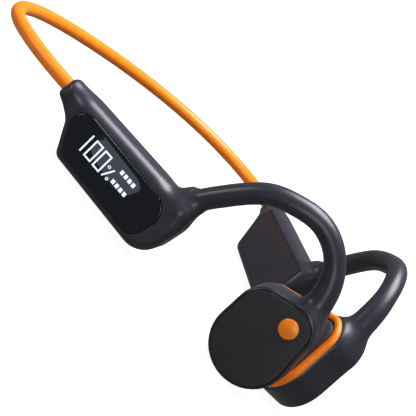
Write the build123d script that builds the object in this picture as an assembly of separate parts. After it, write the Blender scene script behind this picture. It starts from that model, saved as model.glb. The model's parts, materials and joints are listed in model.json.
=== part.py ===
"""Bone conduction headphones: two ear units joined by a springy neckband.

Row frame: +Z up, the wearer faces -Y, the wearer's right side is -X. The headset stands on the
lower edges of its two pods and on its two speakers, and the origin is below its middle on that plane.

Each ear unit is drawn in its own flat frame (u forward, v up, w outward, origin at the middle of the
collar where the neckband enters) and is then set at its toe-in and lean. The left one is the mirror
image of the right one, apart from the display, the keys and the battery.
"""
from build123d import *
import os
from math import asin, atan2, cos, degrees, hypot, pi, radians, sin

# ---- placing of the ear units (mm, degrees) ----
COLLAR_X = 59.6            # half the distance between the two collars
COLLAR_Y = 16.08           # puts the middle of the headset's length at y = 0
COLLAR_Z = 15.12           # collar height above the table
TOE_IN = 26.7              # each ear unit points inwards at its front by this angle
LEAN = 2.3                 # and leans outwards at its top by this angle

# ---- neckband ----
BAND_R = 2.2               # silicone sleeve
BAND_WIDE = (14.0, 45.0, -6.5)    # handle of the curve at the collar: outwards, back, down
BAND_BACK_Y = 57.5         # centre line at the nape, behind the collars
BAND_DROP = 8.5            # and below them
BAND_FLAT = 35.0           # handle of the curve at the nape
BAND_IN_COLLAR = 5.0       # length of sleeve held in the collar
CORE_IN_POD = 10.5         # length of wire and cable from the collar's mouth into the pod
CORE_SPACING = 0.8         # wire above, cable below the sleeve's centre line

# ---- cores that run through the neckband and the ear hooks ----
WIRE_R = 0.45              # titanium memory wire
CABLE_R = 0.5              # four-core signal cable
CORE_FIT = 0.04            # radial clearance round both

# ---- pods ----
POD_HALF = 6.0             # half thickness
COLLAR_HALF = 4.2          # half thickness at the collar
NECK_HALF = 3.4            # half thickness where the hook starts
POD_WALL = 1.5
POD_EDGE_R = 2.4
POD_LOWER_REAR = (14.0, -14.4)
POD_LOWER_FRONT = (52.5, -12.4)
POD_OUTLINE = [            # u, v, corner radius
    (0.0, 3.7, 1.8),
    (43.5, 8.2, 4.0),
    (46.0, 12.0, 0.3),
    (52.5, 9.5, 0.3),
    (54.0, 2.0, 12.0),
    (*POD_LOWER_FRONT, 8.0),
    (*POD_LOWER_REAR, 3.0),
    (8.0, -5.5, 4.0),
    (0.0, -2.9, 1.6),
]
POD_THINS_AT = (4.0, 8.5)  # the pod narrows to the collar between these u
NECK_THINS_AT = (6.4, 11.0)    # and to the hook between these v
CAVITY_U = (9.5, 50.5)
CAVITY_TOP = 6.2
CAVITY_HALF = 4.5
COVER_INSET = 2.6          # lid on the skin side, in from the pod's outline
COVER_T = 1.3

# ---- display window ----
LENS_ROUNDS = [            # its four rounded corners, counter-clockwise: u, v, radius
    (17.0, -7.7, 4.2),
    (42.7, -6.2, 4.4),
    (42.2, -1.4, 5.6),
    (14.5, -2.5, 5.0),
]
LENS_T = 1.0
LENS_PROUD = 0.1
GASKET_T = 0.15
WINDOW_INSET = 1.1
GAP = 0.05                 # assembly gap between pieces of one body

# ---- ear hook ----
HOOK_R = 3.2
HOOK_PLAN = [              # centre line in side view: u, v
    (47.0, 4.5),
    (52.0, 15.5),
    (60.0, 28.0),
    (69.0, 33.5),
    (77.0, 35.0),
    (85.0, 32.0),
    (91.0, 25.0),
    (95.5, 12.0),
]
HOOK_INWARD = 6.2          # the hook leans in towards the skin by this much at its front end
HOOK_STRAIGHT_TO = 60.0    # and is flat up to this u
HOOK_CORE_SPACING = 0.8

# ---- speakers ----
SPEAKER_AT = (91.0, 0.0)   # reference point of the speaker in u, v
SPEAKER_ROUNDS = [         # lower, top and rear rounds about it, counter-clockwise: u, v, radius
    (0.0, -2.6, 12.6),
    (2.8, 9.8, 7.4),
    (-4.2, 5.0, 9.0),
]
FACE_W = -0.7              # outer surface of the face plate
FACE_T = 1.2
FACE_PROUD = 0.3           # face plate above the casing's rim
FACE_INSET = 0.9           # face plate in from the casing's outline
CASING_END_W = -11.7       # skin side end of the casing
CASING_WALL = 1.3
PARTITION_W = (-5.0, -4.2) # inner wall that carries the motor
RING_END_W = -13.3         # skin side end of the accent ring
RING_INSET = 0.35
RING_WALL = 2.0
PAD_END_W = -13.8
PAD_GAP = 0.3
PAD_BACK_W = -10.8

# ---- motor of each speaker ----
MOTOR_AT = (0.0, -2.6)     # middle of the speaker's lower round
YOKE_R = 7.5
YOKE_WALL = 1.0
YOKE_FLOOR = 0.9
YOKE_DEPTH = 3.8
MAGNET_R = 4.8
MAGNET_T = 2.0
POLE_R = 4.9
POLE_T = 0.8
COIL_R = (5.15, 6.2)
COIL_W = (-10.2, -6.8)
SPRING_T = 0.2

# ---- multifunction button ----
BUTTON_AT = (2.8, 9.8)     # middle of the speaker's top round
BUTTON_R = 3.05
BUTTON_FIT = 0.1
BUTTON_DOME = 1.0
BUTTON_FLANGE_R = 3.7
BUTTON_FLANGE_T = 0.5
BUTTON_TRAVEL = 0.35
SWITCH_GAP = 0.1

# ---- keys on the lower edge of the right pod ----
KEY_U = (24.0, 34.0)
KEY_SIZE = (7.2, 2.4)
KEY_FIT = 0.1
KEY_PROUD = 0.35
KEY_FLANGE = 0.5
KEY_TRAVEL = 0.3
KEY_CORNER_R = 1.1
KEY_WALL = POD_WALL + 0.15 # depth of a key's cap behind the pod's edge
KEY_SWITCH = (3.2, 0.9, 2.4)

# ---- charging contacts on the skin side of the right pod ----
CONTACT_U = (27.0, 33.0)
CHARGE_MAGNET_U = (22.5, 37.5)
CONTACT_V = -3.5
CONTACT_R = 1.1
CONTACT_PIN_R = 0.7
CHARGE_MAGNET_R = 1.8
CHARGE_MAGNET_T = 1.6

# ---- boards and battery: limits along u, v and w ----
BOARD = ((16.0, 46.0), (-9.7, 3.4), (-1.0, -0.2))
MODULE = ((15.0, 43.0), (-9.2, 1.4), (1.2, 4.2))
ANTENNA = ((22.0, 41.0), (3.9, 4.2), (-2.5, 2.5))
MICROPHONE = ((-1.9, 1.9), (-0.6, 0.6), (0.4, 3.2))    # about MIC_AT
BATTERY = ((16.0, 46.0), (-10.4, 3.4), (-3.2, 3.6))
BATTERY_ROUND = 1.2
FOAM = ((18.0, 45.0), (-9.0, 1.6), (-4.5, -3.2))
BATTERY_BOARD = ((13.6, 15.6), (-7.0, 3.0), (-2.0, 2.0))
MIC_AT = (42.0, -10.2)

# ---- read-out of the display: a level of 100 percent and two rows of plain bars ----
READOUT_AT = (18.1, -7.7)  # lower left corner of the first digit
READOUT_SLOPE = 4.5        # degrees, follows the pod
READOUT_W = (4.2, 4.3)
DIGIT_SIZE = (3.0, 6.2)
DIGIT_STARTS = (1.8, 5.6)  # of the two noughts, after the one
STROKE = 0.5
PERCENT_AT = 9.3
PERCENT_SIZE = (2.8, 4.4)
PERCENT_TILT = 27.0
PERCENT_RING_R = 0.5
BAR_ROWS = (1.0, 4.8)      # heights of the two rows of bars
BAR_STARTS = (13.0, 14.6, 16.2, 17.8)
BAR_SIZE = (1.1, 1.3)


toe, lean = radians(TOE_IN), radians(LEAN)
collar = Vector(-COLLAR_X, COLLAR_Y, COLLAR_Z)
EAR = Plane(
    origin=collar,
    x_dir=(sin(toe), -cos(toe), 0),
    z_dir=(-cos(toe) * cos(lean), -sin(toe) * cos(lean), -sin(lean)),
)
speaker_centre = Location((*SPEAKER_AT, 0))
motor_centre = speaker_centre * Location((*MOTOR_AT, 0))
button_centre = speaker_centre * Location((*BUTTON_AT, 0))


def outline(corners, inset=0.0):
    """Flat face with straight sides and rounded corners, drawn in from its edge by an inset."""
    face = make_face(Polyline(*[(u, v) for u, v, radius in corners], close=True))
    for u, v, radius in corners:
        corner = face.vertices().sort_by_distance((u, v, 0))[0]
        face = fillet(corner, radius)
    if inset:
        face = offset(face, amount=-inset, kind=Kind.INTERSECTION)
    return face


def side_facing(a, b):
    """Direction, in radians, that the straight side between two rounds faces."""
    run = atan2(b[1] - a[1], b[0] - a[0])
    return run - pi / 2 + asin((a[2] - b[2]) / hypot(b[0] - a[0], b[1] - a[1]))


def hull(rounds, inset=0.0):
    """Flat face stretched round a ring of circles, drawn in from its edge by an inset."""
    count = len(rounds)
    edges = []
    for i, (u, v, radius) in enumerate(rounds):
        start = side_facing(rounds[i - 1], rounds[i])
        end = side_facing(rounds[i], rounds[(i + 1) % count])
        turn = (end - start) % (2 * pi)
        edges.append(CenterArc((u, v), radius - inset, degrees(start), degrees(turn)))
    sides = [Line(edges[i - 1] @ 1, edges[i] @ 0) for i in range(count)]
    return make_face(edges + sides)


def slab(face, w_low, w_high):
    """Prism of a flat face between two levels of w."""
    return extrude(Pos(0, 0, w_low) * face, amount=w_high - w_low)


def box_uvw(u, v, w):
    """Box between pairs of limits along u, v and w."""
    size = [high - low for low, high in (u, v, w)]
    middle = [(high + low) / 2 for low, high in (u, v, w)]
    return Pos(*middle) * Box(*size)


def disc(radius, w_low, w_high):
    """Cylinder along w between two levels."""
    return Pos(0, 0, (w_low + w_high) / 2) * Cylinder(radius, w_high - w_low)


def tube_along(path, radius, aside=0.0):
    """Round rod swept along a path, set aside from it along the start plane's y."""
    start = Plane(origin=path @ 0, x_dir=Vector(0, 0, 1).cross(path % 0), z_dir=path % 0)
    return sweep(start * Pos(0, aside) * Circle(radius), path=path)


# ---------------------------------------------------------------- neckband
def band_path(inside):
    """Right half of the neckband's centre line, starting a given length inside the pod."""
    wide, back, drop = BAND_WIDE
    leave = Vector(-wide, back, drop)
    nape = Vector(0, COLLAR_Y + BAND_BACK_Y, COLLAR_Z - BAND_DROP)
    curve = Bezier(collar, collar + leave, nape - Vector(BAND_FLAT, 0, 0), nape)
    return Line(collar - leave.normalized() * inside, collar) + curve


def band_core(radius, aside):
    """Wire or cable of the neckband's right half."""
    return tube_along(band_path(CORE_IN_POD), radius, aside)


def make_band():
    sleeve = tube_along(band_path(BAND_IN_COLLAR), BAND_R)
    sleeve -= band_core(WIRE_R + CORE_FIT, CORE_SPACING)
    sleeve -= band_core(CABLE_R + CORE_FIT, -CORE_SPACING)
    return {
        "neckband_sleeve": sleeve,
        "neckband_wire": band_core(WIRE_R, CORE_SPACING),
        "neckband_cable": band_core(CABLE_R, -CORE_SPACING),
    }


# ---------------------------------------------------------------- pods
def pod_outside():
    """Outer form of a pod: its side outline, thinned towards the collar and towards the hook."""
    body = slab(outline(POD_OUTLINE), -POD_HALF, POD_HALF)
    body = fillet(body.edges().filter_by(Plane.XY), POD_EDGE_R)
    thin, full = POD_THINS_AT
    from_above = Polyline(
        (-1, -COLLAR_HALF), (thin, -COLLAR_HALF), (full, -POD_HALF), (60, -POD_HALF),
        (60, POD_HALF), (full, POD_HALF), (thin, COLLAR_HALF), (-1, COLLAR_HALF), close=True,
    )
    full, thin = NECK_THINS_AT
    from_behind = Polyline(
        (-20, -POD_HALF), (full, -POD_HALF), (thin, -NECK_HALF), (16, -NECK_HALF),
        (16, NECK_HALF), (thin, NECK_HALF), (full, POD_HALF), (-20, POD_HALF), close=True,
    )
    body &= extrude(Plane.XZ * make_face(from_above), amount=30, both=True)
    body &= extrude(Plane.YZ * make_face(from_behind), amount=60, both=True)
    return body


def pod_cavity():
    inside = slab(outline(POD_OUTLINE, POD_WALL), -CAVITY_HALF, CAVITY_HALF)
    return inside & box_uvw(CAVITY_U, (-20, CAVITY_TOP), (-CAVITY_HALF, CAVITY_HALF))


def cover_face(inset=0.0):
    """Outline of the lid on the skin side."""
    face = outline(POD_OUTLINE, COVER_INSET + inset)
    return face & Pos((CAVITY_U[0] + CAVITY_U[1]) / 2, (CAVITY_TOP - 20) / 2) * Rectangle(
        CAVITY_U[1] - CAVITY_U[0] - 2 * inset, CAVITY_TOP + 20 - 2 * inset
    )


def key_frame(u):
    """Frame on the pod's lower edge at one key: x along the edge, y into the pod."""
    (rear_u, rear_v), (front_u, front_v) = POD_LOWER_REAR, POD_LOWER_FRONT
    slope = (front_v - rear_v) / (front_u - rear_u)
    return Location((u, rear_v + (u - rear_u) * slope, 0), (0, 0, degrees(atan2(slope, 1))))


def make_pod_shells():
    """Housing and skin-side lid of a pod, with the openings that both sides have."""
    lens_floor = POD_HALF + LENS_PROUD - LENS_T - GASKET_T
    housing = pod_outside() - pod_cavity()
    housing -= slab(hull(LENS_ROUNDS, -GAP), lens_floor, POD_HALF + 1)
    housing -= slab(hull(LENS_ROUNDS, WINDOW_INSET), 0, POD_HALF)
    housing -= slab(cover_face(), -POD_HALF - 1, 0)
    housing -= hook_rod(WIRE_R + CORE_FIT, HOOK_CORE_SPACING)
    housing -= hook_rod(CABLE_R + CORE_FIT, -HOOK_CORE_SPACING)
    cover = slab(cover_face(GAP), -POD_HALF, -POD_HALF + COVER_T)
    return housing, cover


def make_lens():
    top = POD_HALF + LENS_PROUD
    lens = slab(hull(LENS_ROUNDS), top - LENS_T, top)
    lens = chamfer(lens.edges().filter_by(Plane.XY).group_by(Axis.Z)[-1], 0.2)
    gasket = slab(hull(LENS_ROUNDS, GAP), top - LENS_T - GASKET_T, top - LENS_T)
    gasket -= slab(hull(LENS_ROUNDS, WINDOW_INSET), 0, POD_HALF)
    return lens, gasket


def make_key(u):
    """One volume key with its flange, and its switch."""
    length, width = KEY_SIZE
    depth = KEY_WALL + KEY_PROUD
    cap = Pos(0, depth / 2 - KEY_PROUD, 0) * Box(length, depth, width)
    cap = fillet(cap.edges().filter_by(Axis.Y), KEY_CORNER_R)
    flange = Box(length + 2 * KEY_FLANGE, KEY_FLANGE, width + 2 * 0.8 * KEY_FLANGE)
    flange = Pos(0, KEY_WALL + KEY_FLANGE / 2, 0) * flange
    switch_back = KEY_WALL + KEY_FLANGE + KEY_TRAVEL + SWITCH_GAP
    switch = Pos(0, switch_back + KEY_SWITCH[1] / 2, 0) * Box(*KEY_SWITCH)
    return key_frame(u) * (cap + flange), key_frame(u) * switch


def key_slot(u):
    length, width = KEY_SIZE
    slot = Box(length + 2 * KEY_FIT, 6, width + 2 * KEY_FIT)
    return key_frame(u) * fillet(slot.edges().filter_by(Axis.Y), KEY_CORNER_R + KEY_FIT)


# ---------------------------------------------------------------- ear hook
def hook_point(u, v):
    """Point of the hook's centre line, which eases inwards over its crown and front."""
    share = max(0.0, (u - HOOK_STRAIGHT_TO) / (HOOK_PLAN[-1][0] - HOOK_STRAIGHT_TO))
    return (u, v, -HOOK_INWARD * sin(share * pi / 2) ** 2)


def hook_path():
    return Spline(*[hook_point(u, v) for u, v in HOOK_PLAN], tangents=[(0.38, 0.92, 0), (0.25, -0.97, -0.03)])


def hook_rod(radius, aside=0.0):
    """Round rod along the hook's centre line, set aside from it along w."""
    path = hook_path()
    start = Plane(origin=path @ 0, x_dir=(0, 0, 1), z_dir=path % 0)
    return sweep(start * Pos(aside, 0) * Circle(radius), path=path)


def make_hook():
    hook = hook_rod(HOOK_R) - pod_outside() - speaker_outside()
    wire = hook_rod(WIRE_R, HOOK_CORE_SPACING)
    cable = hook_rod(CABLE_R, -HOOK_CORE_SPACING)
    hook -= hook_rod(WIRE_R + CORE_FIT, HOOK_CORE_SPACING)
    hook -= hook_rod(CABLE_R + CORE_FIT, -HOOK_CORE_SPACING)
    return hook, wire, cable


# ---------------------------------------------------------------- speakers
def speaker_slab(inset, w_low, w_high):
    return speaker_centre * slab(hull(SPEAKER_ROUNDS, inset), w_low, w_high)


def speaker_outside():
    body = speaker_slab(0, CASING_END_W, FACE_W - FACE_PROUD)
    return fillet(body.edges().filter_by(Plane.XY).group_by(Axis.Z)[-1], 0.6)


def make_casing():
    rim = FACE_W - FACE_PROUD
    casing = speaker_outside()
    casing -= speaker_slab(FACE_INSET - GAP, PARTITION_W[1], rim + 1)
    casing -= speaker_slab(CASING_WALL, CASING_END_W - 1, PARTITION_W[0])
    casing -= hook_rod(WIRE_R + CORE_FIT, HOOK_CORE_SPACING)
    casing -= hook_rod(CABLE_R + CORE_FIT, -HOOK_CORE_SPACING)
    ledge = speaker_slab(FACE_INSET - GAP, PARTITION_W[1], FACE_W - FACE_T)
    ledge -= speaker_slab(FACE_INSET + 1.0, PARTITION_W[1], FACE_W - FACE_T)
    return casing + ledge


def make_face_plate(with_button):
    plate = speaker_slab(FACE_INSET, FACE_W - FACE_T, FACE_W)
    plate = chamfer(plate.edges().filter_by(Plane.XY).group_by(Axis.Z)[-1], 0.35)
    if with_button:
        plate -= button_centre * disc(BUTTON_R + BUTTON_FIT, FACE_W - 3, FACE_W + 1)
    return plate


def make_button():
    """Multifunction button with a domed top and a flange behind the face plate, and its switch."""
    back = FACE_W - FACE_T - GAP
    cap = disc(BUTTON_R, back, FACE_W + BUTTON_DOME)
    cap = fillet(cap.edges().group_by(Axis.Z)[-1], 0.9 * BUTTON_DOME)
    flange_back = back - BUTTON_FLANGE_T
    flange = disc(BUTTON_FLANGE_R, flange_back, back)
    switch_top = flange_back - BUTTON_TRAVEL - SWITCH_GAP
    switch = box_uvw((-2.2, 2.2), (-2.2, 2.2), (PARTITION_W[1], switch_top))
    return button_centre * (cap + flange), button_centre * switch


def make_accent_ring():
    ring = speaker_slab(RING_INSET, RING_END_W, CASING_END_W)
    ring = fillet(ring.edges().filter_by(Plane.XY).group_by(Axis.Z)[0], 1.0)
    return ring - speaker_slab(RING_INSET + RING_WALL, RING_END_W - 1, CASING_END_W + 1)


def make_pad():
    """Skin pad with the boss that carries the voice coil."""
    inset = RING_INSET + RING_WALL + PAD_GAP
    pad = speaker_slab(inset, PAD_END_W, PAD_BACK_W)
    pad = fillet(pad.edges().filter_by(Plane.XY).group_by(Axis.Z)[0], 1.2)
    boss = disc(COIL_R[1], PAD_BACK_W, COIL_W[0]) - disc(COIL_R[0], PAD_BACK_W - 1, COIL_W[0] + 1)
    return pad + motor_centre * boss


def make_motor():
    """Yoke, magnet, pole piece, coil and suspension spring, all round the motor's axis."""
    back = PARTITION_W[0]
    rim = back - YOKE_DEPTH
    floor_end = back - YOKE_FLOOR
    magnet_end = floor_end - MAGNET_T
    yoke = disc(YOKE_R, rim, back) - disc(YOKE_R - YOKE_WALL, rim - 1, floor_end)
    spring = disc(YOKE_R, rim - SPRING_T, rim) - disc(COIL_R[1] + 0.15, rim - 1, rim + 1)
    pieces = {
        "motor_yoke": yoke,
        "motor_magnet": disc(MAGNET_R, magnet_end, floor_end),
        "motor_pole_piece": disc(POLE_R, magnet_end - POLE_T, magnet_end),
        "voice_coil": disc(COIL_R[1], *COIL_W) - disc(COIL_R[0], COIL_W[0] - 1, COIL_W[1] + 1),
        "suspension_spring": spring,
    }
    return {name: motor_centre * piece for name, piece in pieces.items()}


# ---------------------------------------------------------------- electronics
def make_readout():
    """Lit shapes on the display's face: a one, two noughts, a percent sign and plain bars."""
    width, height = DIGIT_SIZE
    shapes = [box_uvw((0, STROKE), (0, height), READOUT_W)]
    for start in DIGIT_STARTS:
        nought = box_uvw((start, start + width), (0, height), READOUT_W)
        hole = box_uvw((start + STROKE, start + width - STROKE), (STROKE, height - STROKE), (0, 9))
        shapes.append(nought - hole)
    wide, tall = PERCENT_SIZE
    middle = Pos(PERCENT_AT + wide / 2, tall / 2, sum(READOUT_W) / 2)
    shapes.append(middle * Rot(0, 0, -PERCENT_TILT) * Box(STROKE, tall, READOUT_W[1] - READOUT_W[0]))
    ring = disc(PERCENT_RING_R, *READOUT_W) - disc(PERCENT_RING_R - 0.25, 0, 9)
    shapes.append(Pos(PERCENT_AT + PERCENT_RING_R, tall - 1.5 * PERCENT_RING_R) * ring)
    shapes.append(Pos(PERCENT_AT + wide - PERCENT_RING_R, 1.5 * PERCENT_RING_R) * ring)
    for row in BAR_ROWS:
        for start in BAR_STARTS:
            shapes.append(box_uvw((start, start + BAR_SIZE[0]), (row, row + BAR_SIZE[1]), READOUT_W))
    return Pos(*READOUT_AT) * Rot(0, 0, READOUT_SLOPE) * Compound(shapes)


def make_right_electronics():
    cover_back = -POD_HALF + COVER_T
    pin = disc(CONTACT_R, -POD_HALF - GAP, cover_back) + disc(CONTACT_PIN_R, cover_back, BOARD[2][0])
    magnet = disc(CHARGE_MAGNET_R, cover_back, cover_back + CHARGE_MAGNET_T)
    return {
        "main_board": box_uvw(*BOARD),
        "display_module": box_uvw(*MODULE),
        "display_segments": make_readout(),
        "antenna": box_uvw(*ANTENNA),
        "charging_contacts": Compound([Pos(u, CONTACT_V) * pin for u in CONTACT_U]),
        "charging_magnets": Compound([Pos(u, CONTACT_V) * magnet for u in CHARGE_MAGNET_U]),
        "microphone": Pos(*MIC_AT) * box_uvw(*MICROPHONE),
    }


def make_left_electronics():
    cell = box_uvw(*BATTERY)
    return {
        "battery": fillet(cell.edges().filter_by(Axis.X), BATTERY_ROUND),
        "battery_foam": box_uvw(*FOAM),
        "battery_board": box_uvw(*BATTERY_BOARD),
    }


# ---------------------------------------------------------------- assembly
def ear_unit(side):
    """All pieces of one ear unit in its own frame, named for their side."""
    housing, cover = make_pod_shells()
    collar_bore, core_bore = BAND_IN_COLLAR + GAP, CORE_IN_POD + 1.5
    housing -= EAR.location.inverse() * tube_along(band_path(collar_bore), BAND_R + GAP)
    housing -= EAR.location.inverse() * tube_along(band_path(core_bore), CORE_SPACING + CABLE_R + GAP)
    lens, gasket = make_lens()
    hook, hook_wire, hook_cable = make_hook()
    pieces = {
        "window_gasket": gasket,
        "ear_hook": hook,
        "ear_hook_wire": hook_wire,
        "ear_hook_cable": hook_cable,
        "speaker_housing": make_casing(),
        "face_plate": make_face_plate(with_button=side == "right"),
        "accent_ring": make_accent_ring(),
        "skin_pad": make_pad(),
    }
    pieces.update(make_motor())
    if side == "right":
        button, button_switch = make_button()
        keys = [make_key(u) for u in KEY_U]
        for u in KEY_U:
            housing -= key_slot(u)
        for u in CONTACT_U:
            cover -= Pos(u, CONTACT_V) * disc(CONTACT_R + GAP, -POD_HALF - 1, 0)
        housing -= Pos(*MIC_AT, 1.8) * Rot(90, 0, 0) * Cylinder(0.5, 12)
        own = {
            "display_window_right": lens,
            "multifunction_button": button,
            "button_switch": button_switch,
            "volume_up_key": keys[1][0],
            "volume_down_key": keys[0][0],
            "volume_switches": Compound([switch for key, switch in keys]),
        }
        own.update(make_right_electronics())
    else:
        own = {"blank_window_left": lens}
        own.update(make_left_electronics())
    pieces.update({"pod_housing": housing, "pod_inner_cover": cover})
    named = {f"{name}_{side}": piece for name, piece in pieces.items()}
    named.update(own)
    return {name: EAR.location * piece for name, piece in named.items()}


def main():
    os.makedirs("parts", exist_ok=True)
    nodes = ear_unit("right")
    for name, piece in ear_unit("left").items():
        nodes[name] = mirror(piece, about=Plane.YZ)
    for name, piece in make_band().items():
        nodes[f"{name}_right"] = piece
        nodes[f"{name}_left"] = mirror(piece, about=Plane.YZ)
    for name, piece in nodes.items():
        export_step(piece, f"parts/{name}.step")


main()
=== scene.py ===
"""Bone conduction headphones: meshes, materials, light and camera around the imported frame.

Lengths in the part's own drawings are in millimetres, and become metres as each mesh is placed.
"""

import json
import math

import bmesh
import bpy
import numpy as np
from mathutils import Matrix, Vector


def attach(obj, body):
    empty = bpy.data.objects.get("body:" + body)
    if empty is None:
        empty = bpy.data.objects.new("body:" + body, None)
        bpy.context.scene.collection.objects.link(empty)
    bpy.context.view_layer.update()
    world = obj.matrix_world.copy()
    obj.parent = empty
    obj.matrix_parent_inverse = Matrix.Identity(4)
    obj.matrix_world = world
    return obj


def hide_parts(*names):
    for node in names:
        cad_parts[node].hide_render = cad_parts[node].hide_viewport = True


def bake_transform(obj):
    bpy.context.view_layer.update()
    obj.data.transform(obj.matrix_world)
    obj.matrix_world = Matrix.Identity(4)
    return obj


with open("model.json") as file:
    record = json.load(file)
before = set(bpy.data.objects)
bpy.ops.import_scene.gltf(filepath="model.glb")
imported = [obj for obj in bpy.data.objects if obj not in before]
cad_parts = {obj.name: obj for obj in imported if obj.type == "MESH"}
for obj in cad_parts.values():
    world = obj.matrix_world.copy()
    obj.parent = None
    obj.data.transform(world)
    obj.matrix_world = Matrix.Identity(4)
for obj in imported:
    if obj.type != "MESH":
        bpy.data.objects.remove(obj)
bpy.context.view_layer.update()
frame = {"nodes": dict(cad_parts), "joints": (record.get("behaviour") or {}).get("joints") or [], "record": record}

MM = 0.001
SIDES = ("right", "left")

# ---- pods (u forward, v up, w outward from the collar, mm) ----
POD_LOWER_REAR = (14.0, -14.4)
POD_LOWER_FRONT = (52.5, -12.4)
POD_OUTLINE = [            # u, v, corner radius
    (0.0, 3.7, 1.8),
    (43.5, 8.2, 4.0),
    (46.0, 12.0, 0.3),
    (52.5, 9.5, 0.3),
    (54.0, 2.0, 12.0),
    (*POD_LOWER_FRONT, 8.0),
    (*POD_LOWER_REAR, 3.0),
    (8.0, -5.5, 4.0),
    (0.0, -2.9, 1.6),
]
POD_HALF = 6.0
CHARGING_FACE_AT = (30.0, 3.5)  # the record's mount: ahead of the collar and below it
COLLAR_HALF = 4.3
NECK_HALF = 3.5
UPPER_ROUND = 4.0          # rounding of the pod's long edges, above and below
LOWER_ROUND = 2.6

LENS_ROUNDS = [            # its four rounded corners, counter-clockwise: u, v, radius
    (17.0, -7.7, 4.2),
    (42.7, -6.2, 4.4),
    (42.2, -1.4, 5.6),
    (14.5, -2.5, 5.0),
]
LENS_TOP = 6.1
LENS_BACK = 5.1

# ---- ear hook ----
HOOK_R = 3.2
HOOK_FLARE = 1.0           # the hook swells by this where it meets the speaker
HOOK_PLAN = [              # centre line in side view: u, v
    (47.0, 4.5),
    (52.0, 15.5),
    (60.0, 28.0),
    (69.0, 33.5),
    (77.0, 35.0),
    (85.0, 32.0),
    (91.0, 25.0),
    (95.5, 12.0),
]
HOOK_INWARD = 6.2          # the hook leans in towards the skin by this much at its front end
HOOK_STRAIGHT_TO = 60.0    # and is flat up to this u

# ---- speakers ----
SPEAKER_AT = (91.0, 0.0)
SPEAKER_ROUNDS = [         # lower, top and rear rounds about it, counter-clockwise: u, v, radius
    (0.0, -2.6, 12.6),
    (2.8, 9.8, 7.4),
    (-4.2, 5.0, 9.0),
]
FACE_W = -0.7
FACE_T = 1.2
RIM_W = -1.0
FACE_INSET = 0.9
CASING_END_W = -11.7
RING_END_W = -13.3
RING_INSET = 0.35
RING_WALL = 2.0
PAD_GAP = 0.3
PAD_END_W = -13.8
BUTTON_AT = (2.8, 9.8)
BUTTON_R = 3.05
BUTTON_DOME = 1.0
BUTTON_FLANGE = 0.65       # flange past the cap, behind the face plate

COVER_GAP = 0.14           # parting gaps round the skin-side lid and the volume keys
KEY_GAP = 0.1
KEY_TRAVEL = 0.35          # room for a pressed key
FRONT_POCKET_W = -3.2      # room behind the face plate for the pressed button
LENS_GAP = 0.12            # gaps round the window and the face plate
FACE_GAP = 0.18
CASING_WALL = 1.3
BACK_POCKET_W = -6.0       # floor of the hollow behind the skin pad
READOUT_LIFT = 0.03        # lit shapes above the window's face
READOUT_SHIFT = (-0.3, 0.9)    # their place on the face, seen through the window from in front

GRID = 0.4                 # spacing of the grid on which the skin is worked out


# ---------------------------------------------------------------- placing
def ear_frames():
    """Matrix from an ear unit's own drawing to the row frame, for each side."""
    press = next(j for j in frame["joints"] if j["name"] == "button_press")
    outward = -Vector(press["axis"])
    forward = Vector((0, 0, 1)).cross(outward).normalized()
    up = outward.cross(forward)
    face = next(m for m in frame["record"]["mounts"] if m["name"] == "charging_face")
    along, below = CHARGING_FACE_AT
    collar = Vector(face["pos_m"]) - (along * forward - below * up - POD_HALF * outward) * MM
    turn = Matrix((forward, up, outward)).transposed().to_4x4()
    right = Matrix.Translation(collar) @ turn @ Matrix.Scale(MM, 4)
    return {"right": right, "left": Matrix.Scale(-1, 4, Vector((1, 0, 0))) @ right}


EAR = ear_frames()


def place(name, side, vertices, faces):
    """Object made from a drawing in an ear unit's own frame."""
    mesh = bpy.data.meshes.new(name)
    mesh.from_pydata([tuple(v) for v in vertices], [], [tuple(f) for f in faces])
    mesh.transform(EAR[side])
    if side == "left":
        mesh.flip_normals()
    mesh.update()
    obj = bpy.data.objects.new(name, mesh)
    bpy.context.scene.collection.objects.link(obj)
    return obj


def smooth(obj, angle=35):
    """Smooth shading with creases kept above an angle."""
    for polygon in obj.data.polygons:
        polygon.use_smooth = True
    obj.data.set_sharp_from_angle(angle=math.radians(angle))


# ---------------------------------------------------------------- outlines and stacks of rings
def rounded_loop(corners, inset=0.0, steps=14):
    """Points round a polygon with rounded corners, drawn in by an inset."""
    count = len(corners)
    points = []
    area = sum(
        corners[i - 1][0] * corners[i][1] - corners[i][0] * corners[i - 1][1] for i in range(count)
    )
    for i, (u, v, radius) in enumerate(corners):
        here = Vector((u, v))
        back = (Vector(corners[i - 1][:2]) - here).normalized()
        on = (Vector(corners[(i + 1) % count][:2]) - here).normalized()
        half = back.angle(on) / 2
        convex = (on.x * back.y - on.y * back.x) * area > 0
        centre = here + (back + on).normalized() * (radius / math.sin(half))
        reach = radius / math.tan(half)
        first, last = here + back * reach - centre, here + on * reach - centre
        turn = first.angle_signed(last)
        scale = (radius - inset if convex else radius + inset) / radius
        for step in range(steps + 1):
            arm = first.copy()
            arm.rotate(Matrix.Rotation(-turn * step / steps, 2))
            points.append(centre + arm * scale)
    return np.array([tuple(p) for p in points])


def side_facing(a, b):
    """Direction that the straight side between two rounds faces."""
    run = math.atan2(b[1] - a[1], b[0] - a[0])
    return run - math.pi / 2 + math.asin((a[2] - b[2]) / math.hypot(b[0] - a[0], b[1] - a[1]))


def hull_loop(rounds, inset=0.0, steps=20):
    """Points round the shape stretched over a ring of circles, drawn in by an inset."""
    count = len(rounds)
    points = []
    for i, (u, v, radius) in enumerate(rounds):
        start = side_facing(rounds[i - 1], rounds[i])
        turn = (side_facing(rounds[i], rounds[(i + 1) % count]) - start) % (2 * math.pi)
        for angle in np.linspace(start, start + turn, steps + 1):
            points.append((u + (radius - inset) * math.cos(angle), v + (radius - inset) * math.sin(angle)))
    return np.array(points)


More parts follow.
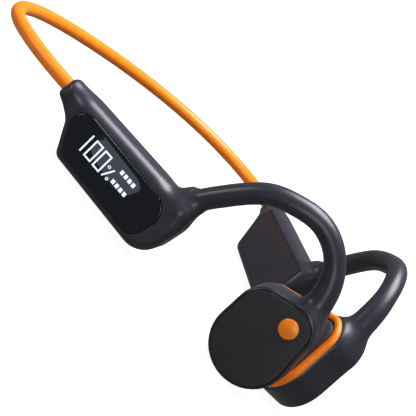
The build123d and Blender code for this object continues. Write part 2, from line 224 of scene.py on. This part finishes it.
def circle_loop(centre, radius, inset=0.0, steps=64):
    """Points round a circle, drawn in by an inset."""
    angles = np.linspace(0, 2 * math.pi, steps, endpoint=False)
    return np.array(centre) + (radius - inset) * np.column_stack((np.cos(angles), np.sin(angles)))


def stack(rings):
    """Closed mesh through rings of points at rising or falling w: [(loop, w), ...]."""
    vertices, faces = [], []
    size = len(rings[0][0])
    for loop, w in rings:
        vertices += [(p[0], p[1], w) for p in loop]
    for ring in range(len(rings) - 1):
        for i in range(size):
            j = (i + 1) % size
            a = ring * size
            faces.append((a + i, a + j, a + size + j, a + size + i))
    faces.append(tuple(range(size))[::-1])
    faces.append(tuple(range((len(rings) - 1) * size, len(rings) * size)))
    return vertices, faces


def outward_faces(obj):
    """Turns all faces outwards."""
    work = bmesh.new()
    work.from_mesh(obj.data)
    bmesh.ops.remove_doubles(work, verts=work.verts, dist=1e-6)
    bmesh.ops.recalc_face_normals(work, faces=work.faces)
    work.to_mesh(obj.data)
    work.free()
    return obj


def quarter(steps=5):
    """Sine and cosine along a quarter turn."""
    return [(math.sin(a), math.cos(a)) for a in np.linspace(0, math.pi / 2, steps + 1)]


def turned(loop_at, profile):
    """Rings for a profile of (inset, w) pairs round an outline."""
    return [(loop_at(inset), w) for inset, w in profile]


def speaker_loop(inset):
    return hull_loop(SPEAKER_ROUNDS, inset) + np.array(SPEAKER_AT)


# ---------------------------------------------------------------- skin of an ear unit
def catmull(points, per_span=24):
    """Smooth line through points."""
    p = np.array(points, float)
    p = np.vstack((2 * p[0] - p[1], p, 2 * p[-1] - p[-2]))
    t = np.linspace(0, 1, per_span, endpoint=False)[:, None]
    spans = []
    for a, b, c, d in zip(p[:-3], p[1:-2], p[2:-1], p[3:]):
        spans.append(
            0.5 * (2 * b + (c - a) * t + (2 * a - 5 * b + 4 * c - d) * t**2 + (3 * b - a - 3 * c + d) * t**3)
        )
    return np.vstack(spans + [p[-2:-1]])


def loop_distance(x, y, loop):
    """Signed distance from flat points to a closed loop, negative inside."""
    best = np.full(x.shape, np.inf)
    inside = np.zeros(x.shape, bool)
    for (ax, ay), (bx, by) in zip(loop, np.roll(loop, -1, axis=0)):
        dx, dy = bx - ax, by - ay
        length = dx * dx + dy * dy
        if length < 1e-12:
            continue
        t = np.clip(((x - ax) * dx + (y - ay) * dy) / length, 0, 1)
        best = np.minimum(best, (x - ax - t * dx) ** 2 + (y - ay - t * dy) ** 2)
        if ay != by:
            crosses = (ay > y) != (by > y)
            inside ^= crosses & (x < ax + (y - ay) * dx / dy)
    return np.where(inside, -1, 1) * np.sqrt(best)


def hook_line():
    """Hook's centre line, which eases inwards over its crown and front."""
    points = []
    for u, v in HOOK_PLAN:
        share = max(0.0, (u - HOOK_STRAIGHT_TO) / (HOOK_PLAN[-1][0] - HOOK_STRAIGHT_TO))
        points.append((u, v, -HOOK_INWARD * math.sin(share * math.pi / 2) ** 2))
    return catmull(points)


def rise(x, low, high):
    """Smooth step from 0 to 1."""
    t = np.clip((x - low) / (high - low), 0, 1)
    return t * t * (3 - 2 * t)


def rounded_prism(flat, w, half, radius):
    """Distance to a prism with rounded edges, from the distance to its outline."""
    side, top = flat + radius, np.abs(w) - half + radius
    outside = np.hypot(np.maximum(side, 0), np.maximum(top, 0))
    return np.minimum(np.maximum(side, top), 0) + outside - radius


def blend_fields(a, b, width):
    """Union of two fields with a fillet."""
    h = np.clip(0.5 + 0.5 * (b - a) / width, 0, 1)
    return b + (a - b) * h - width * h * (1 - h)


def rod_distance(u, v, w, line, radii):
    """Distance to a rod of changing radius along a line, worked out near each of its stretches."""
    best = np.full((len(u), len(v), len(w)), 8.0)
    for a, b, ra, rb in zip(line[:-1], line[1:], radii[:-1], radii[1:]):
        near = []
        for axis, values in enumerate((u, v, w)):
            low = min(a[axis], b[axis]) - ra - 6
            high = max(a[axis], b[axis]) + ra + 6
            near.append(slice(*np.searchsorted(values, (low, high))))
        x = u[near[0]][:, None, None] - a[0]
        y = v[near[1]][None, :, None] - a[1]
        z = w[near[2]][None, None, :] - a[2]
        d = b - a
        t = np.clip((x * d[0] + y * d[1] + z * d[2]) / (d @ d), 0, 1)
        reach = np.sqrt((x - t * d[0]) ** 2 + (y - t * d[1]) ** 2 + (z - t * d[2]) ** 2)
        block = best[near[0], near[1], near[2]]
        np.minimum(block, reach - (ra + (rb - ra) * t), out=block)
    return best


def skin_field(u, v, w):
    """Distance to the skin that runs from the collar over the pod and hook to the speaker."""
    flat_u, flat_v = np.meshgrid(u, v, indexing="ij")
    depth = w[None, None, :]
    half = COLLAR_HALF + (POD_HALF - COLLAR_HALF) * rise(flat_u, 3.0, 10.0)
    half -= (POD_HALF - NECK_HALF) * rise(flat_v, 5.5, 12.0) * rise(flat_u, 38, 42)
    radius = LOWER_ROUND + (UPPER_ROUND - LOWER_ROUND) * rise(flat_v, -5, 5)
    radius = np.minimum(radius, half - 0.2)
    pod = loop_distance(flat_u, flat_v, rounded_loop(POD_OUTLINE))
    pod = rounded_prism(pod[..., None], depth, half[..., None], radius[..., None])

    line = hook_line()
    along = np.linspace(0, 1, len(line))
    radii = HOOK_R + HOOK_FLARE * rise(along, 0.72, 1.0)
    hook = rod_distance(u, v, w, line, radii)

    flat = loop_distance(flat_u, flat_v, speaker_loop(0.0))
    middle = (RIM_W + CASING_END_W) / 2
    casing = rounded_prism(flat[..., None], depth - middle, (RIM_W - CASING_END_W) / 2, 0.9)
    return blend_fields(blend_fields(pod, hook, 3.0), casing, 4.5)


def read_field(field, at):
    """Values of a field between grid points."""
    base = np.clip(np.floor(at).astype(int), 0, np.array(field.shape) - 2)
    t = at - base
    total = 0
    for i in (0, 1):
        for j in (0, 1):
            for k in (0, 1):
                share = (
                    np.abs(1 - i - t[:, 0]) * np.abs(1 - j - t[:, 1]) * np.abs(1 - k - t[:, 2])
                )
                total = total + share * field[base[:, 0] + i, base[:, 1] + j, base[:, 2] + k]
    return total


def surface(field):
    """Quads over a field's zero level, in grid units: one vertex in each cell that it crosses."""
    inside = field < 0
    shape = np.array(field.shape) - 1
    total = np.zeros(tuple(shape) + (3,))
    hits = np.zeros(tuple(shape))
    for axis in range(3):
        others = [a for a in range(3) if a != axis]
        low = [slice(None)] * 3
        high = [slice(None)] * 3
        low[axis], high[axis] = slice(0, -1), slice(1, None)
        a, b = field[tuple(low)], field[tuple(high)]
        cut = (a < 0) != (b < 0)
        t = np.where(cut, a / np.where(cut, a - b, 1), 0)
        for i in (0, 1):
            for j in (0, 1):
                part = [slice(None)] * 3
                part[others[0]] = slice(i, shape[others[0]] + i)
                part[others[1]] = slice(j, shape[others[1]] + j)
                crossed = cut[tuple(part)]
                total[..., axis] += np.where(crossed, t[tuple(part)], 0)
                total[..., others[0]] += crossed * i
                total[..., others[1]] += crossed * j
                hits += crossed
    cells = np.argwhere(hits > 0)
    index = np.full(tuple(shape), -1)
    index[tuple(cells.T)] = np.arange(len(cells))
    vertices = cells + total[tuple(cells.T)] / hits[tuple(cells.T)][:, None]
    faces = []
    for axis in range(3):
        j, k = [a for a in ((1, 2), (2, 0), (0, 1))][axis]
        low = [slice(1, -1)] * 3
        high = [slice(1, -1)] * 3
        low[axis], high[axis] = slice(0, -1), slice(1, None)
        a, b = inside[tuple(low)], inside[tuple(high)]
        for forward in (True, False):
            edges = np.argwhere(a & ~b if forward else ~a & b)
            start = edges + 1
            start[:, axis] = edges[:, axis]
            ring = []
            for dj, dk in ((-1, -1), (0, -1), (0, 0), (-1, 0)):
                cell = start.copy()
                cell[:, j] += dj
                cell[:, k] += dk
                ring.append(index[tuple(cell.T)])
            quads = np.column_stack(ring)
            faces.append(quads if forward else quads[:, ::-1])
    return vertices, np.vstack(faces)


def settle(vertices, field, rounds=4):
    """Moves vertices on to the zero level along the field's slope."""
    slopes = np.gradient(field)
    for _ in range(rounds):
        value = read_field(field, vertices)
        slope = np.column_stack([read_field(s, vertices) for s in slopes])
        vertices = vertices - slope * (value / np.maximum((slope**2).sum(axis=1), 0.1))[:, None]
    return vertices


def skin_drawing():
    """Vertices and faces of the skin in the ear unit's own drawing."""
    u = np.arange(-2.0, 106.5, GRID)
    v = np.arange(-17.5, 41.0, GRID)
    w = np.arange(-13.5, 8.5, GRID)
    field = skin_field(u, v, w) / GRID
    vertices, faces = surface(field)
    vertices = settle(vertices, field)
    return vertices * GRID + np.array((u[0], v[0], w[0])), faces


def prism(name, side, loop, w_low, w_high):
    """Straight prism over a loop, used to cut pockets and holes."""
    return outward_faces(place(name, side, *stack([(loop, w_low), (loop, w_high)])))


def cut_away(obj, cutters):
    """Takes cutters out of an object and deletes them."""
    for cutter in cutters:
        change = obj.modifiers.new("cut", "BOOLEAN")
        change.operation = "DIFFERENCE"
        change.solver = "EXACT"
        change.object = cutter
        graph = bpy.context.evaluated_depsgraph_get()
        mesh = bpy.data.meshes.new_from_object(obj.evaluated_get(graph))
        obj.modifiers.clear()
        obj.data = mesh
        bpy.data.objects.remove(cutter)


def grown_copy(node, grow):
    """Copy of a CAD node's mesh, larger all round, to cut a pocket with a parting gap."""
    work = bmesh.new()
    work.from_mesh(bpy.data.objects[node].data)
    bmesh.ops.remove_doubles(work, verts=work.verts, dist=1e-6)
    bmesh.ops.recalc_face_normals(work, faces=work.faces)
    work.normal_update()
    moves = [v.normal * v.calc_shell_factor() * grow * MM for v in work.verts]
    for vertex, move in zip(work.verts, moves):
        vertex.co += move
    mesh = bpy.data.meshes.new("cut_" + node)
    work.to_mesh(mesh)
    work.free()
    cutter = bpy.data.objects.new("cut_" + node, mesh)
    bpy.context.scene.collection.objects.link(cutter)
    return cutter


def make_skin(side, drawing):
    name = f"ear_unit_skin_{side}"
    skin = place(name, side, *drawing)
    lens_pocket = prism("cut_lens", side, hull_loop(LENS_ROUNDS, -LENS_GAP), LENS_BACK, 9)
    front_pocket = prism("cut_front", side, speaker_loop(FACE_INSET - FACE_GAP), FRONT_POCKET_W, 2)
    back_pocket = prism("cut_back", side, speaker_loop(CASING_WALL), -14, BACK_POCKET_W)
    pockets = [lens_pocket, front_pocket, back_pocket, grown_copy(f"pod_inner_cover_{side}", COVER_GAP)]
    if side == "right":
        for joint in frame["joints"]:
            if not joint["name"].startswith("volume_"):
                continue
            for travel in (0.0, KEY_TRAVEL):
                room = grown_copy(joint["name"].replace("_press", "_key"), KEY_GAP)
                room.location = Vector(joint["axis"]) * travel * MM
                pockets.append(room)
    cut_away(skin, pockets)
    smooth(skin, 40)
    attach(skin, f"{side}_side")
    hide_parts(f"pod_housing_{side}", f"ear_hook_{side}", f"speaker_housing_{side}")
    return skin


# ---------------------------------------------------------------- pieces of the pods
def make_lens(side, node, material):
    edge = 0.35
    profile = [(0.0, LENS_BACK)]
    profile += [(edge * (1 - c), LENS_TOP - edge + edge * s) for s, c in quarter(5)]
    lens = place(f"window_glass_{side}", side, *stack(turned(lambda d: hull_loop(LENS_ROUNDS, d), profile)))
    outward_faces(lens)
    smooth(lens, 50)
    lens.data.materials.append(material)
    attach(lens, f"{side}_side")
    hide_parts(node)


def make_readout(material):
    """Lit shapes of the display, brought up to the face of the smoked window."""
    mesh = bpy.data.objects["display_segments"].data.copy()
    to_drawing = EAR["right"].inverted()
    top = max((to_drawing @ v.co).z for v in mesh.vertices)
    outward = (EAR["right"].to_3x3() @ Vector((0, 0, 1))).normalized()
    lift = outward * (LENS_TOP + READOUT_LIFT - top) * MM
    slide = EAR["right"].to_3x3() @ Vector((*READOUT_SHIFT, 0))
    mesh.transform(Matrix.Translation(lift + slide))
    readout = bpy.data.objects.new("display_readout", mesh)
    bpy.context.scene.collection.objects.link(readout)
    mesh.materials.clear()
    mesh.materials.append(material)
    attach(readout, "right_side")
    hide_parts("display_segments")


# ---------------------------------------------------------------- pieces of the speakers
def make_face_plate(side, material):
    edge = 0.4
    profile = [(FACE_INSET, FACE_W - FACE_T), (FACE_INSET, FACE_W - edge - 0.2)]
    profile += [(FACE_INSET + edge * (1 - c), FACE_W - edge + edge * s) for s, c in quarter(5)]
    plate = place(f"face_plate_{side}_shell", side, *stack(turned(speaker_loop, profile)))
    outward_faces(plate)
    if side == "right":
        hole = circle_loop(np.add(SPEAKER_AT, BUTTON_AT), BUTTON_R + 0.12)
        cut_away(plate, [prism("cut_button", side, hole, -4, 2)])
    smooth(plate, 50)
    plate.data.materials.append(material)
    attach(plate, f"{side}_side")
    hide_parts(f"face_plate_{side}")


def make_button(material):
    centre = np.add(SPEAKER_AT, BUTTON_AT)
    back = FACE_W - FACE_T - 0.05
    base, top, shoulder = FACE_W + 0.1, FACE_W + BUTTON_DOME, 0.5
    flange = -BUTTON_FLANGE
    profile = [(flange, back - 0.5), (flange, back), (0.0, back), (0.0, base)]
    profile += [(shoulder * (1 - c), base + shoulder * s) for s, c in quarter(4)[1:]]
    rest = BUTTON_R - shoulder
    for i in range(1, 8):
        r = rest * (1 - i / 8)
        height = (top - base - shoulder) * (1 - (r / rest) ** 2)
        profile.append((BUTTON_R - r, base + shoulder + height))
    button = place("button_cap", "right", *stack(turned(lambda d: circle_loop(centre, BUTTON_R, d), profile)))
    outward_faces(button)
    smooth(button, 50)
    button.data.materials.append(material)
    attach(button, "multifunction_button")
    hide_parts("multifunction_button")


def make_accent_ring(side, material):
    inner, edge = RING_INSET + RING_WALL, 0.9
    profile = [(inner, CASING_END_W + 0.6), (0.45, CASING_END_W + 0.6), (RING_INSET, CASING_END_W + 0.3)]
    profile += [(RING_INSET + edge * (1 - c), RING_END_W + edge - edge * s) for s, c in quarter(6)]
    profile += [(inner - 0.3, RING_END_W), (inner, RING_END_W + 0.3)]
    rings = turned(speaker_loop, profile)
    size = len(rings[0][0])
    vertices, faces = stack(rings)
    faces = faces[:-2]
    last = (len(rings) - 1) * size
    faces += [(last + i, last + (i + 1) % size, (i + 1) % size, i) for i in range(size)]
    ring = outward_faces(place(f"accent_ring_{side}_band", side, vertices, faces))
    smooth(ring, 50)
    ring.data.materials.append(material)
    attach(ring, f"{side}_side")
    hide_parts(f"accent_ring_{side}")


def make_skin_pad(side, material):
    start, edge = RING_INSET + RING_WALL + PAD_GAP, 1.2
    profile = [(start, -10.8), (start, PAD_END_W + edge + 0.2)]
    profile += [(start + edge * (1 - c), PAD_END_W + edge + 0.2 - edge * s) for s, c in quarter(6)[1:]]
    profile += [(start + edge + 2.0, PAD_END_W + 0.06), (start + edge + 4.0, PAD_END_W)]
    pad = outward_faces(place(f"skin_pad_{side}_cushion", side, *stack(turned(speaker_loop, profile))))
    smooth(pad, 50)
    pad.data.materials.append(material)
    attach(pad, f"skin_pad_{side}_moving")
    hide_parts(f"skin_pad_{side}")


# ---------------------------------------------------------------- neckband
BAND_R = 2.2
BAND_WIDE = (14.0, 45.0, -6.5)
BAND_BACK = 57.5
BAND_DROP = 8.5
BAND_FLAT = 35.0
BAND_IN_COLLAR = 5.0
CORE_IN_POD = 10.5
CORE_SPACING = 0.8         # wire above, cable below the sleeve's centre line
WIRE_R = 0.45
CABLE_R = 0.5


def band_line(inside, count=72):
    """Neckband's centre line from the right collar round the nape to the left one, in metres."""
    collar = EAR["right"].translation
    leave = Vector((-BAND_WIDE[0], BAND_WIDE[1], BAND_WIDE[2])) * MM
    nape = Vector((0, collar.y + BAND_BACK * MM, collar.z - BAND_DROP * MM))
    handles = [collar, collar + leave, nape - Vector((BAND_FLAT * MM, 0, 0)), nape]
    half = [collar - leave.normalized() * inside * MM]
    for t in np.linspace(0, 1, count):
        s = 1 - t
        shares = (s**3, 3 * s * s * t, 3 * s * t * t, t**3)
        half.append(sum((h * k for h, k in zip(handles, shares)), Vector()))
    return half + [Vector((-p.x, p.y, p.z)) for p in half[-2::-1]]


def tube(name, line, radius, around=32, lift=0.0):
    """Closed round tube along a line, set above it by a lift."""
    vertices, faces = [], []
    for i, point in enumerate(line):
        along = (line[min(i + 1, len(line) - 1)] - line[max(i - 1, 0)]).normalized()
        side = along.cross(Vector((0, 0, 1))).normalized()
        top = side.cross(along)
        for k in range(around):
            a = 2 * math.pi * k / around
            vertices.append(point + (side * math.cos(a) + top * math.sin(a)) * radius + top * lift)
    for i in range(len(line) - 1):
        for k in range(around):
            n = (k + 1) % around
            faces.append((i * around + k, i * around + n, (i + 1) * around + n, (i + 1) * around + k))
    faces.append(tuple(range(around)))
    faces.append(tuple(range((len(line) - 1) * around, len(line) * around)))
    mesh = bpy.data.meshes.new(name)
    mesh.from_pydata([tuple(v) for v in vertices], [], faces)
    obj = bpy.data.objects.new(name, mesh)
    bpy.context.scene.collection.objects.link(obj)
    outward_faces(obj)
    smooth(obj, 60)
    return obj


def make_band(material, wire_material, cable_material):
    sleeve = tube("neckband", band_line(BAND_IN_COLLAR), BAND_R * MM, 40)
    wire = tube("neckband_core_wire", band_line(CORE_IN_POD), WIRE_R * MM, 12, CORE_SPACING * MM)
    cable = tube("neckband_core_cable", band_line(CORE_IN_POD), CABLE_R * MM, 12, -CORE_SPACING * MM)
    for piece, node, slot, finish in (
        (sleeve, "neckband_sleeve", "orange_silicone", material),
        (wire, "neckband_wire", "titanium_wire", wire_material),
        (cable, "neckband_cable", "cable_sheath", cable_material),
    ):
        piece.data.materials.append(finish)
        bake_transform(piece)
        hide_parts(f"{node}_right", f"{node}_left")


# ---------------------------------------------------------------- materials
def principled(name, **values):
    material = bpy.data.materials.new(name)
    material.use_nodes = True
    shader = material.node_tree.nodes["Principled BSDF"]
    for key, value in values.items():
        shader.inputs[key.replace("_", " ")].default_value = value
    return material, material.node_tree, shader


def grain(tree, shader, scale, bump, distance, rough=None):
    """Fine moulded texture: bump, and a little change of roughness."""
    nodes, links = tree.nodes, tree.links
    place_at = nodes.new("ShaderNodeTexCoord")
    noise = nodes.new("ShaderNodeTexNoise")
    noise.inputs["Scale"].default_value = scale
    noise.inputs["Detail"].default_value = 3.0
    links.new(place_at.outputs["Object"], noise.inputs["Vector"])
    lump = nodes.new("ShaderNodeBump")
    lump.inputs["Strength"].default_value = bump
    lump.inputs["Distance"].default_value = distance
    links.new(noise.outputs["Fac"], lump.inputs["Height"])
    links.new(lump.outputs["Normal"], shader.inputs["Normal"])
    if rough:
        spread = nodes.new("ShaderNodeMapRange")
        spread.inputs["To Min"].default_value, spread.inputs["To Max"].default_value = rough
        links.new(noise.outputs["Fac"], spread.inputs["Value"])
        links.new(spread.outputs["Result"], shader.inputs["Roughness"])


def moulded(name, colour, roughness, scale=4000.0, bump=0.15, **values):
    material, tree, shader = principled(name, Base_Color=(*colour, 1), Roughness=roughness, **values)
    grain(tree, shader, scale, bump, 0.00003, (0.9 * roughness, 1.1 * roughness))
    return material


def speckled(name, dark, light, roughness, scale, **values):
    """Moulded surface whose colour wanders between two close tones."""
    material = moulded(name, dark, roughness, scale, **values)
    tree = material.node_tree
    shader = tree.nodes["Principled BSDF"]
    at = tree.nodes.new("ShaderNodeTexCoord")
    cloud = tree.nodes.new("ShaderNodeTexNoise")
    cloud.inputs["Scale"].default_value = scale / 12
    cloud.inputs["Detail"].default_value = 5.0
    ramp = tree.nodes.new("ShaderNodeValToRGB")
    ramp.color_ramp.elements[0].position = 0.35
    ramp.color_ramp.elements[0].color = (*dark, 1)
    ramp.color_ramp.elements[1].position = 0.7
    ramp.color_ramp.elements[1].color = (*light, 1)
    tree.links.new(at.outputs["Object"], cloud.inputs["Vector"])
    tree.links.new(cloud.outputs["Fac"], ramp.inputs["Fac"])
    tree.links.new(ramp.outputs["Color"], shader.inputs["Base Color"])
    return material


def brushed(name, dark, light, roughness):
    """Metal with fine lines along one direction."""
    material = speckled(name, dark, light, roughness, 3000, Metallic=1.0)
    tree = material.node_tree
    stretch = tree.nodes.new("ShaderNodeMapping")
    stretch.inputs["Scale"].default_value = (1, 1, 14)
    at = tree.nodes["Texture Coordinate"]
    for noise in [n for n in tree.nodes if n.bl_idname == "ShaderNodeTexNoise"]:
        tree.links.new(stretch.outputs["Vector"], noise.inputs["Vector"])
    tree.links.new(at.outputs["Object"], stretch.inputs["Vector"])
    return material


def glowing(name, colour, strength):
    """Lit display: cool white with a faint pixel structure."""
    material, tree, shader = principled(name, Base_Color=(*colour, 1), Roughness=0.4)
    at = tree.nodes.new("ShaderNodeTexCoord")
    cells = tree.nodes.new("ShaderNodeTexVoronoi")
    cells.inputs["Scale"].default_value = 5000
    ramp = tree.nodes.new("ShaderNodeValToRGB")
    ramp.color_ramp.elements[0].color = (*colour, 1)
    ramp.color_ramp.elements[1].color = (*[0.8 * c for c in colour], 1)
    tree.links.new(at.outputs["Object"], cells.inputs["Vector"])
    tree.links.new(cells.outputs["Distance"], ramp.inputs["Fac"])
    tree.links.new(ramp.outputs["Color"], shader.inputs["Emission Color"])
    shader.inputs["Emission Strength"].default_value = strength
    return material


charcoal = speckled("charcoal_soft_touch", (0.017, 0.017, 0.025), (0.022, 0.022, 0.031), 0.36, 4000)
orange = speckled("orange_silicone", (0.92, 0.21, 0.002), (0.98, 0.25, 0.004), 0.38, 4000)
orange_gloss = speckled("orange_button_paint", (0.93, 0.22, 0.002), (0.97, 0.25, 0.003), 0.28, 2500)
face_black = speckled("face_plate_black", (0.011, 0.011, 0.013), (0.014, 0.014, 0.017), 0.52, 5000)
window_black = moulded("window_black_glass", (0.003, 0.004, 0.008), 0.03, 600, 0.01)
pad_grey = speckled("pad_silicone", (0.030, 0.030, 0.038), (0.040, 0.040, 0.048), 0.55, 3000)
titanium = brushed("titanium", (0.45, 0.43, 0.40), (0.55, 0.53, 0.50), 0.3)
sheath = speckled("cable_sheath", (0.018, 0.018, 0.018), (0.026, 0.026, 0.026), 0.5, 3000)
lit = glowing("display_light", (0.80, 0.88, 1.0), 0.75)
steel = brushed("motor_steel", (0.48, 0.48, 0.49), (0.62, 0.62, 0.63), 0.32)
nickel = brushed("magnet_nickel", (0.60, 0.59, 0.56), (0.70, 0.69, 0.66), 0.2)
copper = brushed("coil_copper", (0.62, 0.27, 0.12), (0.75, 0.36, 0.18), 0.35)
gold = brushed("contact_gold", (0.78, 0.55, 0.20), (0.90, 0.68, 0.28), 0.22)
board = speckled("circuit_board", (0.008, 0.07, 0.03), (0.015, 0.12, 0.05), 0.35, 1500)
foil = brushed("battery_foil", (0.48, 0.49, 0.51), (0.60, 0.61, 0.63), 0.4)
foam = speckled("grey_foam", (0.16, 0.16, 0.16), (0.30, 0.30, 0.30), 0.9, 2500)
flex = speckled("antenna_flex", (0.28, 0.13, 0.03), (0.40, 0.20, 0.06), 0.35, 1500)
module = speckled("display_module", (0.012, 0.012, 0.015), (0.022, 0.022, 0.026), 0.3, 2500)
gasket = speckled("gasket_rubber", (0.010, 0.010, 0.010), (0.018, 0.018, 0.018), 0.7, 3000)

NODE_FINISHES = (          # start of the node's name, finish
    ("pod_inner_cover", charcoal),
    ("volume_up_key", charcoal),
    ("volume_down_key", charcoal),
    ("window_gasket", gasket),
    ("ear_hook_wire", titanium),
    ("ear_hook_cable", sheath),
    ("motor_magnet", nickel),
    ("motor_yoke", steel),
    ("motor_pole_piece", steel),
    ("suspension_spring", steel),
    ("voice_coil", copper),
    ("charging_contacts", gold),
    ("charging_magnets", nickel),
    ("battery_foam", foam),
    ("battery_board", board),
    ("battery", foil),
    ("main_board", board),
    ("display_module", module),
    ("antenna", flex),
    ("microphone", steel),
    ("volume_switches", steel),
    ("button_switch", steel),
)


def finish_nodes():
    """Gives every CAD node that stays visible its material."""
    for node in frame["nodes"]:
        match = next((finish for start, finish in NODE_FINISHES if node.startswith(start)), None)
        if match:
            slots = bpy.data.objects[node].data.materials
            slots.clear()
            slots.append(match)


finish_nodes()
drawing = skin_drawing()
for side in SIDES:
    skin = make_skin(side, drawing)
    skin.data.materials.append(charcoal)
    make_face_plate(side, face_black)
    make_accent_ring(side, orange)
    make_skin_pad(side, pad_grey)
make_lens("right", "display_window_right", window_black)
make_lens("left", "blank_window_left", window_black)
make_button(orange_gloss)
make_readout(lit)
make_band(orange, titanium, sheath)


# ---------------------------------------------------------------- stage, light and camera
def make_floor():
    """White sweep: mostly its own light, so that it stays plain, with a share of real shading."""
    bpy.ops.mesh.primitive_plane_add(size=6, location=(0, 0, 0))
    floor = bpy.context.object
    floor.name = "floor"
    material, _, shader = principled("floor_white", Base_Color=(0.25, 0.25, 0.25, 1), Roughness=1.0)
    shader.inputs["Emission Color"].default_value = (1, 1, 1, 1)
    shader.inputs["Emission Strength"].default_value = FLOOR_GLOW
    floor.data.materials.append(material)
    floor.visible_glossy = False
    floor.visible_diffuse = False


def make_window_panel():
    """Soft panel with round corners that shows only as the pale sheen in the display window."""
    facing = EAR["right"].to_3x3() @ Vector((0, 0, 1))
    facing.normalize()
    eye = bpy.context.scene.camera.location
    vertices, faces = [], []
    loops = [hull_loop(PANEL_ROUNDS, inset) for inset in (0.0, 0.6, 3.0)]
    for loop in loops:
        for u, v in loop:
            at = EAR["right"] @ Vector((u, v, LENS_TOP))
            ray = (at - eye).normalized()
            vertices.append(at + (ray - 2 * ray.dot(facing) * facing) * PANEL_DISTANCE)
    size = len(loops[0])
    for ring in range(len(loops) - 1):
        for i in range(size):
            j = (i + 1) % size
            faces.append((ring * size + i, ring * size + j, (ring + 1) * size + j, (ring + 1) * size + i))
    faces.append(tuple(range((len(loops) - 1) * size, len(loops) * size)))
    mesh = bpy.data.meshes.new("window_panel")
    mesh.from_pydata(vertices, [], faces)
    panel = bpy.data.objects.new("window_panel", mesh)
    bpy.context.scene.collection.objects.link(panel)
    material, _, shader = principled("panel_light", Base_Color=(0, 0, 0, 1), Roughness=1.0)
    shader.inputs["Emission Color"].default_value = (0.72, 0.80, 1.0, 1)
    shader.inputs["Emission Strength"].default_value = PANEL_GLOW
    mesh.materials.append(material)
    panel.visible_camera = False
    panel.visible_diffuse = False
    panel.visible_shadow = False


def area_light(name, at, towards, size, power, colour=(1, 1, 1)):
    data = bpy.data.lights.new(name, "AREA")
    data.shape = "RECTANGLE"
    data.size, data.size_y = size
    data.energy = power
    data.color = colour
    light = bpy.data.objects.new(name, data)
    light.location = at
    light.rotation_euler = (Vector(towards) - Vector(at)).to_track_quat("-Z", "Y").to_euler()
    bpy.context.scene.collection.objects.link(light)


FLOOR_GLOW = 0.93
PANEL_ROUNDS = [           # part of the window in which the panel shows: u, v, radius
    (19.5, 4.0, 9.5),
    (37.5, 4.4, 9.4),
    (37.5, 14.0, 9.4),
    (19.5, 14.0, 9.5),
]
PANEL_DISTANCE = 0.25
PANEL_GLOW = 1.9

CAMERA_AIM = Vector((0.0008, -0.0067, 0.0147))
CAMERA_AZIMUTH = 56.1
CAMERA_ELEVATION = 15.6
CAMERA_ROLL = -51.8
CAMERA_DISTANCE = 0.500
CAMERA_LENS = 139.6


def make_camera():
    data = bpy.data.cameras.new("camera")
    data.lens = CAMERA_LENS
    data.sensor_width = 36
    data.clip_start, data.clip_end = 0.01, 20
    camera = bpy.data.objects.new("camera", data)
    azimuth, elevation = math.radians(CAMERA_AZIMUTH), math.radians(CAMERA_ELEVATION)
    level_part = math.cos(elevation)
    look = Vector(
        (math.sin(azimuth) * level_part, math.cos(azimuth) * level_part, -math.sin(elevation))
    )
    camera.location = CAMERA_AIM - look * CAMERA_DISTANCE
    level = look.to_track_quat("-Z", "Y").to_matrix()
    camera.rotation_euler = (level @ Matrix.Rotation(math.radians(-CAMERA_ROLL), 3, "Z")).to_euler()
    bpy.context.scene.collection.objects.link(camera)
    bpy.context.scene.camera = camera


def make_world(strength):
    """White studio behind the object, dimmer as a light so that dark plastic stays dark."""
    world = bpy.data.worlds.new("studio")
    world.use_nodes = True
    tree = world.node_tree
    shade = tree.nodes["Background"]
    shade.inputs["Strength"].default_value = strength
    seen = tree.nodes.new("ShaderNodeBackground")
    seen.inputs["Color"].default_value = (1, 1, 1, 1)
    path = tree.nodes.new("ShaderNodeLightPath")
    mix = tree.nodes.new("ShaderNodeMixShader")
    shade.inputs["Color"].default_value = (1, 1, 1, 1)
    tree.links.new(path.outputs["Is Camera Ray"], mix.inputs["Fac"])
    tree.links.new(shade.outputs["Background"], mix.inputs[1])
    tree.links.new(seen.outputs["Background"], mix.inputs[2])
    tree.links.new(mix.outputs["Shader"], tree.nodes["World Output"].inputs["Surface"])
    bpy.context.scene.world = world


make_floor()
make_camera()
make_window_panel()
make_world(0.22)
area_light("overhead", (0.0, 0.05, 0.7), (0, 0, 0.02), (0.45, 0.6), 13, (0.92, 0.93, 1.0))
area_light("front_fill", (-0.5, -0.55, 0.12), (0, 0, 0.02), (0.3, 0.3), 1.2)
area_light("rear_left_low", (-0.6, 0.35, 0.06), (-0.05, 0, 0.015), (0.2, 0.25), 1.2)
bpy.context.scene.view_settings.view_transform = "Standard"
